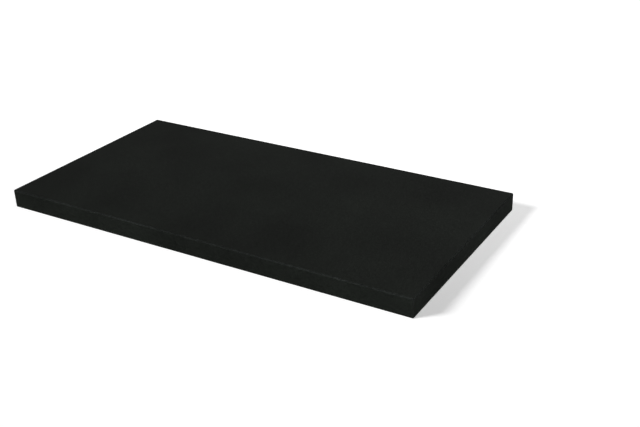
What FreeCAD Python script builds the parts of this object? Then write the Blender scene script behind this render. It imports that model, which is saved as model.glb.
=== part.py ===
import FreeCAD, Part
import os
import Sketcher

# A granite slab for stamping and punching leather: one flat rectangular block of dense black stone.
#
# Frame, in millimetres: the origin is the centre of the base, +X runs along the length, +Y along the
# width and +Z up out of the working face. The base lies on Z = 0 and the working face on Z = thickness.
#
# The stone is sawn square and its arrises (the sharp edges between two faces) are ground to narrow flats,
# widest round the working face, where hands and leather pass over them, and narrowest round the base.

SIZES = "Sizes"

# Driving dimensions. The outline is 24 by 12 inches and the stone is 1 inch thick.
DRIVING_DIMENSIONS = [
    ("slab_length", 609.6),
    ("slab_width", 304.8),
    ("slab_thickness", 25.4),
    ("corner_arris", 1.0),
    ("top_arris", 1.2),
    ("base_arris", 0.6),
]


def make_sizes(doc):
    """The sheet of driving dimensions, one to a row: its name in column A and its value in column B."""
    sheet = doc.addObject("Spreadsheet::Sheet", SIZES)
    for row, (alias, value) in enumerate(DRIVING_DIMENSIONS, start=1):
        sheet.set(f"A{row}", alias)
        sheet.set(f"B{row}", str(value))
        sheet.setAlias(f"B{row}", alias)
    doc.recompute()
    return sheet


def origin_plane(body, role):
    """The body's own origin plane with this role, such as XY_Plane."""
    for feature in body.Origin.OriginFeatures:
        if feature.Role == role:
            return feature
    raise LookupError(f"{body.Label} has no origin plane {role}")


def centred_rectangle(body, name, length_alias, width_alias):
    """A rectangle on the body's XY plane, centred on the origin and fully constrained."""
    sketch = body.newObject("Sketcher::SketchObject", name)
    sketch.AttachmentSupport = [(origin_plane(body, "XY_Plane"), "")]
    sketch.MapMode = "FlatFace"

    corners = [(-1, -1), (1, -1), (1, 1), (-1, 1)]
    points = [FreeCAD.Vector(x, y, 0) for x, y in corners]
    sides = []
    for start, end in zip(points, points[1:] + points[:1]):
        sides.append(sketch.addGeometry(Part.LineSegment(start, end), False))
    front, right, back, left = sides

    for side, following in zip(sides, sides[1:] + sides[:1]):
        sketch.addConstraint(Sketcher.Constraint("Coincident", side, 2, following, 1))
    for side in (front, back):
        sketch.addConstraint(Sketcher.Constraint("Horizontal", side))
    for side in (right, left):
        sketch.addConstraint(Sketcher.Constraint("Vertical", side))
    # The sketch's origin is point 1 of geometry -1. The first corner and the opposite one mirror in it.
    sketch.addConstraint(Sketcher.Constraint("Symmetric", front, 1, back, 1, -1, 1))

    spans = [("DistanceX", front, "length", length_alias), ("DistanceY", right, "width", width_alias)]
    for kind, side, name, alias in spans:
        index = sketch.addConstraint(Sketcher.Constraint(kind, side, 1, side, 2, 2.0))
        sketch.renameConstraint(index, name)
        sketch.setExpression(f"Constraints.{name}", f"{SIZES}.{alias}")
    return sketch


def edge_names(shape, wanted):
    """The names of the shape's edges whose bounding boxes pass the test."""
    return [
        f"Edge{number}"
        for number, edge in enumerate(shape.Edges, start=1)
        if wanted(edge.BoundBox)
    ]


def add_arris(body, name, wanted, alias):
    """Grinds the wanted edges of the body's last feature to 45 degree flats."""
    base = body.Tip
    arris = body.newObject("PartDesign::Chamfer", name)
    arris.Base = (base, edge_names(base.Shape, wanted))
    arris.setExpression("Size", f"{SIZES}.{alias}")
    body.Document.recompute()
    return arris


def make_stone_slab(doc, sizes):
    """The slab: a padded rectangle, with its corners, working face and base eased in that order."""
    body = doc.addObject("PartDesign::Body", "StoneSlab")
    body.Label = "stone_slab"
    body.Placement = FreeCAD.Placement()

    outline = centred_rectangle(body, "Outline", "slab_length", "slab_width")
    block = body.newObject("PartDesign::Pad", "SawnBlock")
    block.Profile = outline
    block.setExpression("Length", f"{SIZES}.slab_thickness")
    doc.recompute()

    thickness = sizes.slab_thickness
    near = thickness * 1e-6
    add_arris(body, "CornerArrises", lambda box: box.ZLength > thickness / 2, "corner_arris")
    add_arris(body, "WorkingFaceArris", lambda box: box.ZMin > thickness - near, "top_arris")
    add_arris(body, "BaseArris", lambda box: box.ZMax < near, "base_arris")
    return body


def check_document(doc):
    """Stops if a recompute left any object of the document failed."""
    for item in doc.Objects:
        if "Invalid" in item.State or "Error" in item.State:
            raise RuntimeError(f"{item.Label} didn't compute: {item.State}")


def check_shape(piece):
    """Stops if a sub-part's shape is missing, broken or more than one solid."""
    shape = piece.Shape
    if shape.isNull() or not shape.isValid() or len(shape.Solids) != 1:
        raise RuntimeError(f"{piece.Label} isn't one valid solid")


def write_step(piece):
    """Writes the sub-part to its own STEP file, named after its label."""
    piece.Shape.exportStep(f"parts/{piece.Label}.step")
    box = piece.Shape.BoundBox
    litres = piece.Shape.Volume / 1e6
    print(f"{piece.Label}: {box.XLength:.1f} x {box.YLength:.1f} x {box.ZLength:.1f} mm, {litres:.4f} litres")


def main():
    doc = FreeCAD.newDocument("GraniteSlab")
    sizes = make_sizes(doc)
    pieces = [make_stone_slab(doc, sizes)]
    doc.recompute()
    check_document(doc)
    for piece in pieces:
        check_shape(piece)
    os.makedirs("parts", exist_ok=True)
    for piece in pieces:
        write_step(piece)


main()
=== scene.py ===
import math
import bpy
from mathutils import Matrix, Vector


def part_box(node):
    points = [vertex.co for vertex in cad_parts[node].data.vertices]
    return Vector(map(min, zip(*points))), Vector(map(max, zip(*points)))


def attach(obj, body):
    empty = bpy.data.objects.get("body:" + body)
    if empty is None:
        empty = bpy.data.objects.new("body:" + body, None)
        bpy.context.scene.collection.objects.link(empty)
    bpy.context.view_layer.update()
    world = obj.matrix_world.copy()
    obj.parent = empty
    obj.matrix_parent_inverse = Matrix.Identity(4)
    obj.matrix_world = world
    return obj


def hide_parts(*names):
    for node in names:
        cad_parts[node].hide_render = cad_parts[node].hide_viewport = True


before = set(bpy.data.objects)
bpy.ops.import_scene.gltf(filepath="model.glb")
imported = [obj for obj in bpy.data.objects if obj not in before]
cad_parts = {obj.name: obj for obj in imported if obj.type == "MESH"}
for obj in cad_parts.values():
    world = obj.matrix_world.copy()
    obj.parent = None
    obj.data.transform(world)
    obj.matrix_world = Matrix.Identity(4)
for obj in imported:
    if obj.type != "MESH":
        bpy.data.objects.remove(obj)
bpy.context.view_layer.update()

from types import SimpleNamespace

import bmesh
import bpy
from mathutils import Matrix, Vector, noise

# The looks of a granite slab for stamping and punching leather: one block of fine-grained black stone,
# honed on its working face and sides, ground along its arrises and left as sawn underneath.

MM = 0.001
WHITE = (1, 1, 1, 1)
NODE = "stone_slab"
PIECE = "black_granite_slab"


# ---------------------------------------------------------------- the slab as designed


def read_slab():
    """The CAD slab's sizes: half its length and width, its thickness, and how wide its arrises are."""
    low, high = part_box(NODE)
    points = [vertex.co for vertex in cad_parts[NODE].data.vertices]
    near = 0.001 * MM

    def inset_at(height):
        """How far the flat at this height stands in from the outline."""
        return high.x - max(point.x for point in points if abs(point.z - height) < near)

    return SimpleNamespace(
        length=high.x - low.x,
        half_length=high.x,
        half_width=high.y,
        thickness=high.z,
        top_arris=inset_at(high.z),
        base_arris=inset_at(low.z),
        corner_arris=high.y - max(point.y for point in points if abs(point.x - high.x) < near),
    )


slab = read_slab()


# ---------------------------------------------------------------- making nodes


class Nodes:
    """Short ways to make and join the nodes of a material or of the world."""

    def __init__(self, tree):
        self.tree = tree

    def add(self, kind, settings=None, **inputs):
        """A node of this kind, with settings on the node and a value or a socket for each input."""
        node = self.tree.nodes.new("ShaderNode" + kind)
        for name, value in (settings or {}).items():
            setattr(node, name, value)
        for name, value in inputs.items():
            self.put(node.inputs[name.replace("_", " ")], value)
        return node

    def put(self, socket, value):
        """Links a socket's value, or sets a plain one."""
        if isinstance(value, bpy.types.NodeSocket):
            self.tree.links.new(value, socket)
        else:
            socket.default_value = value

    def maths(self, operation, *values):
        """One operation on numbers or sockets."""
        node = self.add("Math", {"operation": operation})
        for socket, value in zip(node.inputs, values):
            self.put(socket, value)
        return node.outputs[0]

    def vectors(self, operation, *values):
        """One operation on vectors."""
        node = self.add("VectorMath", {"operation": operation})
        for socket, value in zip(node.inputs, values):
            self.put(socket, value)
        return node.outputs[0]

    def scaled(self, vector, scale):
        """A vector or a colour times a number."""
        node = self.add("VectorMath", {"operation": "SCALE"}, Vector=vector, Scale=scale)
        return node.outputs[0]

    def spread(self, socket, low, high):
        """Carries 0..1 on to low..high."""
        return self.add("MapRange", Value=socket, To_Min=low, To_Max=high).outputs[0]


# ---------------------------------------------------------------- camera, lights and floor

# The camera's place is in slab lengths from the middle of the base, and its angles are in degrees. The
# small shift, in picture widths, moves the slab to the right in the picture.
CAMERA_PLACE = Vector((1.1193, -1.5539, 0.9302))
CAMERA_AZIMUTH = 29.982
CAMERA_ELEVATION = 26.443
CAMERA_ROLL = -1.105
CAMERA_LENS_MM = 53.255
CAMERA_SHIFT = -0.0427

# The key light comes over the front left corner of the slab, about a third of the way up the sky.
KEY_DIRECTION = Vector((-27.0, -25.0, 22.4))
KEY_STRENGTH = 2.9
KEY_SPREAD = math.radians(18)

# A weaker and softer light stands behind the slab on the right, and lights the arris there. Only the key
# light casts a shadow, so the floor in front of the slab stays white.
RIM_DIRECTION = Vector((0.44, 0.77, 0.47))
RIM_STRENGTH = 1.3
RIM_SPREAD = math.radians(40)

# A third light, weaker still, stands low on the right of the camera and lights the nearest corner.
FILL_DIRECTION = Vector((0.85, -0.50, 0.15))
FILL_STRENGTH = 1.15
FILL_SPREAD = math.radians(60)

# The room is dim, and brightest high up behind the slab. A camera sees a white backdrop instead.
ROOM_DIM = 0.012
ROOM_BRIGHT = 0.074
ROOM_BRIGHT_SIDE = Vector((0.0, 0.70, 0.71)).normalized()
ROOM_FALL_OFF = 3.0
BACKDROP_WHITE = 1.05

# The floor is a white light table: part of its brightness is its own, and more of it behind the slab than
# in front. Its reach is in metres.
FLOOR_REACH = 12.0
FLOOR_GAP = 0.02 * MM
FLOOR_WHITE = 0.97
FLOOR_GLOW_FRONT = 0.261
FLOOR_GLOW_BACK = 0.438


def add_camera():
    """Looks along the azimuth and down by the elevation, then rolls about the line of sight."""
    camera = bpy.data.objects.new("camera", bpy.data.cameras.new("camera"))
    bpy.context.scene.collection.objects.link(camera)
    bpy.context.scene.camera = camera
    camera.data.lens = CAMERA_LENS_MM
    camera.data.shift_x = CAMERA_SHIFT
    azimuth = math.radians(CAMERA_AZIMUTH)
    elevation = math.radians(CAMERA_ELEVATION)
    forward = Vector((
        -math.sin(azimuth) * math.cos(elevation),
        math.cos(azimuth) * math.cos(elevation),
        -math.sin(elevation),
    ))
    turn = forward.to_track_quat("-Z", "Y").to_matrix().to_4x4()
    roll = Matrix.Rotation(math.radians(CAMERA_ROLL), 4, "Z")
    camera.matrix_world = Matrix.Translation(CAMERA_PLACE * slab.length) @ turn @ roll


def add_light(name, direction, strength, spread, shadow):
    """A large soft light, so far off that it is the same over the whole slab."""
    light = bpy.data.lights.new(name, "SUN")
    light.energy = strength
    light.angle = spread
    light.use_shadow = shadow
    lamp = bpy.data.objects.new(name, light)
    lamp.rotation_mode = "QUATERNION"
    lamp.rotation_quaternion = direction.to_track_quat("Z", "Y")
    bpy.context.scene.collection.objects.link(lamp)


def add_room():
    """A dim room that is brighter towards one side, with a white backdrop for the camera."""
    world = bpy.data.worlds.new("room")
    bpy.context.scene.world = world
    world.use_nodes = True
    nodes = Nodes(world.node_tree)
    way = nodes.add("TexCoord").outputs["Generated"]
    facing = nodes.add("VectorMath", {"operation": "DOT_PRODUCT"})
    nodes.put(facing.inputs[0], way)
    nodes.put(facing.inputs[1], ROOM_BRIGHT_SIDE)
    towards = nodes.add("MapRange", Value=facing.outputs["Value"], From_Min=-1.0, From_Max=1.0).outputs[0]
    share = nodes.maths("POWER", towards, ROOM_FALL_OFF)
    level = nodes.spread(share, ROOM_DIM, ROOM_BRIGHT)
    walls = nodes.add("Background", Color=WHITE, Strength=level)
    backdrop = nodes.add("Background", Color=WHITE, Strength=BACKDROP_WHITE)
    room = nodes.add("MixShader")
    seen = nodes.add("LightPath").outputs["Is Camera Ray"]
    for socket, value in zip(room.inputs, (seen, walls.outputs[0], backdrop.outputs[0])):
        nodes.put(socket, value)
    nodes.put(world.node_tree.nodes["World Output"].inputs["Surface"], room.outputs[0])


def add_floor():
    """A plain white floor just under the slab, as wide as any camera needs. The stone doesn't mirror it."""
    mesh = bpy.data.meshes.new("floor")
    signs = [(-1, -1), (1, -1), (1, 1), (-1, 1)]
    corners = [(x * FLOOR_REACH, y * FLOOR_REACH, -FLOOR_GAP) for x, y in signs]
    mesh.from_pydata(corners, [], [range(4)])
    material = bpy.data.materials.new("white_floor")
    material.use_nodes = True
    nodes = Nodes(material.node_tree)
    shader = material.node_tree.nodes["Principled BSDF"]
    shader.inputs["Base Color"].default_value = (FLOOR_WHITE, FLOOR_WHITE, FLOOR_WHITE, 1)
    shader.inputs["Roughness"].default_value = 1.0
    shader.inputs["Specular IOR Level"].default_value = 0.0
    shader.inputs["Emission Color"].default_value = WHITE
    place = nodes.add("SeparateXYZ", Vector=nodes.add("TexCoord").outputs["Object"])
    glow = nodes.add(
        "MapRange",
        Value=place.outputs["Y"],
        From_Min=-slab.half_width,
        From_Max=slab.half_width,
        To_Min=FLOOR_GLOW_FRONT,
        To_Max=FLOOR_GLOW_BACK,
    )
    nodes.put(shader.inputs["Emission Strength"], glow.outputs[0])
    mesh.materials.append(material)
    floor = bpy.data.objects.new("floor", mesh)
    floor.visible_glossy = False
    bpy.context.scene.collection.objects.link(floor)


# ---------------------------------------------------------------- the stone's shape

# How many cells there are along the slab and across it, steps in a corner's turn, and bands down a side.
# The saw left narrow ridges along the slab, so the cells are small across it.
COLUMNS = 76
ROWS = 152
CORNER_STEPS = 6
SIDE_ROWS = 5

# A corner's radius is the corner arris and this share of the top arris, so the top arris fits inside it.
CORNER_ROOM = 0.6

# A ground arris isn't machined: its width wanders by a share of itself, and its two edges are rounded over
# by a share of the width. A support ring beside each arris keeps the shading of the side flat.
ARRIS_WANDER = 0.10
ARRIS_WANDER_LENGTH = 35 * MM
ARRIS_SOFTNESS = 0.22
SUPPORT = 0.4 * MM

# The blade that sawed the stone ran along its length, and left ridges and furrows on the underside. They
# bend slowly, and finer ones lie over them.
SAW_DEPTH = 0.12 * MM
SAW_PITCH = 9 * MM
SAW_FINENESS = 2.7
SAW_FINE_SHARE = 0.4
SAW_BEND = 60 * MM
SAW_BEND_LENGTH = 480 * MM

HONED, GROUND, SAWN = range(3)


def wander(place, length):
    """A smooth random number from -1 to 1 that changes over about this length."""
    return noise.noise(place / length)


def saw_height(x, y):
    """How far the sawn underside stands up from the lowest ridge, at one place."""
    across = y + wander(Vector((x, y, 0)), SAW_BEND_LENGTH) * SAW_BEND
    ridges = wander(Vector((0, across, 0)), SAW_PITCH)
    fine_ridges = wander(Vector((0, across, 1)), SAW_PITCH / SAW_FINENESS)
    both = ridges * (1 - SAW_FINE_SHARE) + fine_ridges * SAW_FINE_SHARE
    return SAW_DEPTH * (1 + both) / 2


def rim_stations():
    """The cells round the rim of the inner grid, counter-clockwise, each with the way out of the stone.

    A corner cell comes once for each step of the turn from one side to the next."""
    walks = [
        [(column, 0) for column in range(COLUMNS + 1)],
        [(COLUMNS, row) for row in range(ROWS + 1)],
        [(column, ROWS) for column in reversed(range(COLUMNS + 1))],
        [(0, row) for row in reversed(range(ROWS + 1))],
    ]
    stations = []
    quarter = math.pi / 2
    for side, walk in enumerate(walks):
        facing = quarter * (side - 1)
        stations += [(cell, facing) for cell in walk]
        stations += [(walk[-1], facing + quarter * step / CORNER_STEPS) for step in range(1, CORNER_STEPS)]
    return stations


def arris_profile(width):
    """A 45 degree flat of this width with both its edges rounded over, from one face round to the other.

    Each point is how far it lies in from the second face and how far below the first. The middle point of
    each edge lies on the quadratic curve that leaves the face and meets the flat."""
    soft = width * ARRIS_SOFTNESS
    slant = soft / math.sqrt(2)
    middle = (width + (soft - slant) / 4, slant / 4)
    first_edge = [(width + soft, 0), middle, (width - slant, slant)]
    return first_edge + [(depth, inset) for inset, depth in reversed(first_edge)]


def arris_width(width, place, level):
    """How wide a ground arris really is at one place. Each level wanders in its own way."""
    return width * (1 + ARRIS_WANDER * wander(place + Vector((0, 0, level)), ARRIS_WANDER_LENGTH))


def rim_profile(place):
    """The stone's section at one place on its rim, from the top down.

    Each point is its inset, its height and the finish of the band below it."""
    top = arris_profile(arris_width(slab.top_arris, place, 0))
    base = arris_profile(arris_width(slab.base_arris, place, 1))
    high = slab.thickness - top[-1][1] - SUPPORT
    low = base[-1][1] + SUPPORT
    section = [(inset, slab.thickness - depth, GROUND) for inset, depth in top[:-1]]
    section.append((0, slab.thickness - top[-1][1], HONED))
    section += [(0, high + (low - high) * row / SIDE_ROWS, HONED) for row in range(SIDE_ROWS + 1)]
    section += [(inset, depth, GROUND) for inset, depth in reversed(base)]
    return section


def make_grid(mesh, spots, height_at):
    """A grid of vertices over the spots, each at the height given for its place."""
    return {cell: mesh.verts.new((x, y, height_at(x, y))) for cell, (x, y) in spots.items()}


def fill_grid(mesh, grid, finish, upwards):
    """Faces the grid, with its outside up or down."""
    for column in range(COLUMNS):
        for row in range(ROWS):
            cells = [(column, row), (column + 1, row), (column + 1, row + 1), (column, row + 1)]
            add_face(mesh, [grid[cell] for cell in cells], finish, upwards)


def add_face(mesh, corners, finish, forwards=True):
    """One face through the corners, in order or in reverse, leaving out a corner that repeats."""
    kept = list(dict.fromkeys(corners))
    face = mesh.faces.new(kept if forwards else kept[::-1])
    face.material_index = finish
    face.smooth = True


def make_stone():
    """The slab as one closed mesh: a grid above, a grid below and a rim of rings between them.

    Each grid stops short of the outline by the radius of the corners, so a corner of the grid is the
    centre of that corner's turn, and a ring is the grid's edge moved outwards by about one distance."""
    radius = slab.corner_arris + slab.top_arris * CORNER_ROOM
    reach_x = slab.half_length - radius
    reach_y = slab.half_width - radius
    spots = {}
    for column in range(COLUMNS + 1):
        for row in range(ROWS + 1):
            x = reach_x * (2 * column / COLUMNS - 1)
            y = reach_y * (2 * row / ROWS - 1)
            spots[column, row] = (x, y)

    mesh = bmesh.new()
    top = make_grid(mesh, spots, lambda x, y: slab.thickness)
    base = make_grid(mesh, spots, saw_height)
    fill_grid(mesh, top, HONED, upwards=True)
    fill_grid(mesh, base, SAWN, upwards=False)

    sections = []
    for cell, facing in rim_stations():
        out = Vector((math.cos(facing), math.sin(facing), 0))
        centre = Vector((*spots[cell], 0))
        verts = [top[cell]]
        finishes = [HONED]
        for inset, height, finish in rim_profile(centre):
            verts.append(mesh.verts.new(centre + out * (radius - inset) + Vector((0, 0, height))))
            finishes.append(finish)
        verts.append(base[cell])
        finishes[-1] = SAWN
        sections.append((verts, finishes))
    for (left, finishes), (right, _) in zip(sections, sections[1:] + sections[:1]):
        for level, finish in enumerate(finishes):
            corners = [left[level], left[level + 1], right[level + 1], right[level]]
            add_face(mesh, corners, finish)

    data = bpy.data.meshes.new(PIECE)
    mesh.to_mesh(data)
    mesh.free()
    stone = bpy.data.objects.new(PIECE, data)
    bpy.context.scene.collection.objects.link(stone)
    return stone


# ---------------------------------------------------------------- the stone's surface

# Honed stone is black with a little green in it. Crystals that are bruised by grinding or left by the saw
# are paler and greyer. The arrises' pale colour is partly that bruising and partly painted sheen: it stands
# in for the highlight that the front arris catches, and keeps arrises turned from the lights from showing
# dark.
HONED_COLOUR = (0.0068, 0.0084, 0.0067)
GROUND_COLOUR_AND_SHEEN = (0.0155, 0.0172, 0.0162)
SAWN_COLOUR = (0.024, 0.026, 0.025)

# Most of the stone is dark pyroxene, in crystals of two sizes. Between them lie sparse pale laths of
# feldspar, a few times as long as they are wide, each at one of a few angles (in degrees).
CRYSTAL_SIZE = 1.3 * MM
GRAIN_SIZE = 0.45 * MM
GRAIN_CONTRAST = 0.45
LATH_LENGTH = 1.1 * MM
LATH_WIDTH = 0.30 * MM
LATH_ANGLES = ((0, 0, 12), (35, 0, 71), (0, 40, 133))
LATH_SHARE = 0.014
LATH_TONE = 1.6

# Slow clouds of tone lie across the slab, in the pattern that the seed picks.
CLOUD_SIZE = 90 * MM
CLOUD_CONTRAST = 0.70
CLOUD_SEED = 12.0

# Crystals differ in roughness by up to this much either way. The ground and sawn finishes have small pits.
SHINE_RANGE = 0.07
PIT_SIZE = 0.6 * MM

# The middle of the random colours that the crystals have.
MIDDLE = (0.5, 0.5, 0.5)


def crystals(nodes, place, size):
    """Angular crystals of about this size: a random colour for each, and its three parts."""
    colour = nodes.add("TexVoronoi", Vector=place, Scale=1 / size).outputs["Color"]
    return colour, nodes.add("SeparateColor", Color=colour).outputs


def about_one(nodes, number, contrast):
    """Turns a number from 0 to 1 into a tone that is 1 at its middle."""
    return nodes.spread(number, 1 - contrast, 1 + contrast)


def feldspar(nodes, place):
    """1 on the pale laths and 0 elsewhere."""
    found = 0.0
    for angles in LATH_ANGLES:
        frame_of_lath = nodes.add("Mapping", {"vector_type": "TEXTURE"}, Vector=place)
        frame_of_lath.inputs["Rotation"].default_value = [math.radians(angle) for angle in angles]
        frame_of_lath.inputs["Scale"].default_value = (LATH_LENGTH, LATH_WIDTH, LATH_WIDTH)
        _, parts = crystals(nodes, frame_of_lath.outputs[0], 1.0)
        chosen = nodes.maths("GREATER_THAN", parts["Red"], 1 - LATH_SHARE)
        found = nodes.maths("MAXIMUM", found, chosen)
    return found


def stone_surface(name, colour, roughness, contrast, tilt, relief):
    """Black granite with one finish.

    The crystals differ in tone by the contrast and lean every way by up to half the tilt. The relief is
    how deep the finish is pitted."""
    material = bpy.data.materials.new(name)
    material.use_nodes = True
    nodes = Nodes(material.node_tree)
    shader = material.node_tree.nodes["Principled BSDF"]
    place = nodes.add("TexCoord").outputs["Object"]
    leaning, coarse_parts = crystals(nodes, place, CRYSTAL_SIZE)
    _, fine_parts = crystals(nodes, place, GRAIN_SIZE)
    cloud = nodes.add(
        "TexNoise",
        {"noise_dimensions": "4D"},
        Vector=place,
        W=CLOUD_SEED,
        Scale=1 / CLOUD_SIZE,
        Detail=3.0,
    ).outputs["Fac"]

    tone = nodes.maths(
        "MULTIPLY",
        about_one(nodes, coarse_parts["Red"], contrast),
        about_one(nodes, fine_parts["Red"], GRAIN_CONTRAST),
    )
    tone = nodes.maths("MULTIPLY", tone, about_one(nodes, cloud, CLOUD_CONTRAST))
    tone = nodes.maths("MULTIPLY_ADD", feldspar(nodes, place), LATH_TONE, tone)
    nodes.put(shader.inputs["Base Color"], nodes.scaled(colour, tone))

    shine = nodes.spread(coarse_parts["Green"], roughness - SHINE_RANGE, roughness + SHINE_RANGE)
    nodes.put(shader.inputs["Roughness"], shine)

    lean = nodes.scaled(nodes.vectors("SUBTRACT", leaning, MIDDLE), tilt)
    normal = nodes.vectors("ADD", nodes.add("NewGeometry").outputs["Normal"], lean)
    normal = nodes.vectors("NORMALIZE", normal)
    if relief:
        pits = nodes.add("TexNoise", Vector=place, Scale=1 / PIT_SIZE, Detail=4.0).outputs["Fac"]
        normal = nodes.add("Bump", Height=pits, Distance=relief, Normal=normal).outputs["Normal"]
    nodes.put(shader.inputs["Normal"], normal)
    return material


def honed_stone():
    """The working face and the sides, rubbed smooth to a soft sheen."""
    return stone_surface("honed_granite", HONED_COLOUR, roughness=0.36, contrast=0.22, tilt=0.06, relief=0)


def ground_stone():
    """The arrises, ground by hand: the cut crystals are bruised and have no gloss. Their pale colour is
    partly that bruising and partly painted sheen, standing in for the highlight they catch.
    """
    material = stone_surface(
        "ground_granite",
        GROUND_COLOUR_AND_SHEEN,
        roughness=0.92,
        contrast=0.25,
        tilt=0.10,
        relief=0.03 * MM,
    )
    material.node_tree.nodes["Principled BSDF"].inputs["Specular IOR Level"].default_value = 0.0
    return material


def sawn_stone():
    """The underside, as it left the saw: grey with rock flour, and rough."""
    return stone_surface(
        "sawn_granite",
        SAWN_COLOUR,
        roughness=0.85,
        contrast=0.25,
        tilt=0.15,
        relief=0.12 * MM,
    )


# ---------------------------------------------------------------- putting it together

bpy.context.scene.view_settings.view_transform = "Standard"
add_camera()
add_light("key", KEY_DIRECTION, KEY_STRENGTH, KEY_SPREAD, shadow=True)
add_light("rim", RIM_DIRECTION, RIM_STRENGTH, RIM_SPREAD, shadow=False)
add_light("fill", FILL_DIRECTION, FILL_STRENGTH, FILL_SPREAD, shadow=False)
add_room()
add_floor()

stone = make_stone()
for make_material in (honed_stone, ground_stone, sawn_stone):
    stone.data.materials.append(make_material())
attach(stone, "root")
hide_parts(NODE)
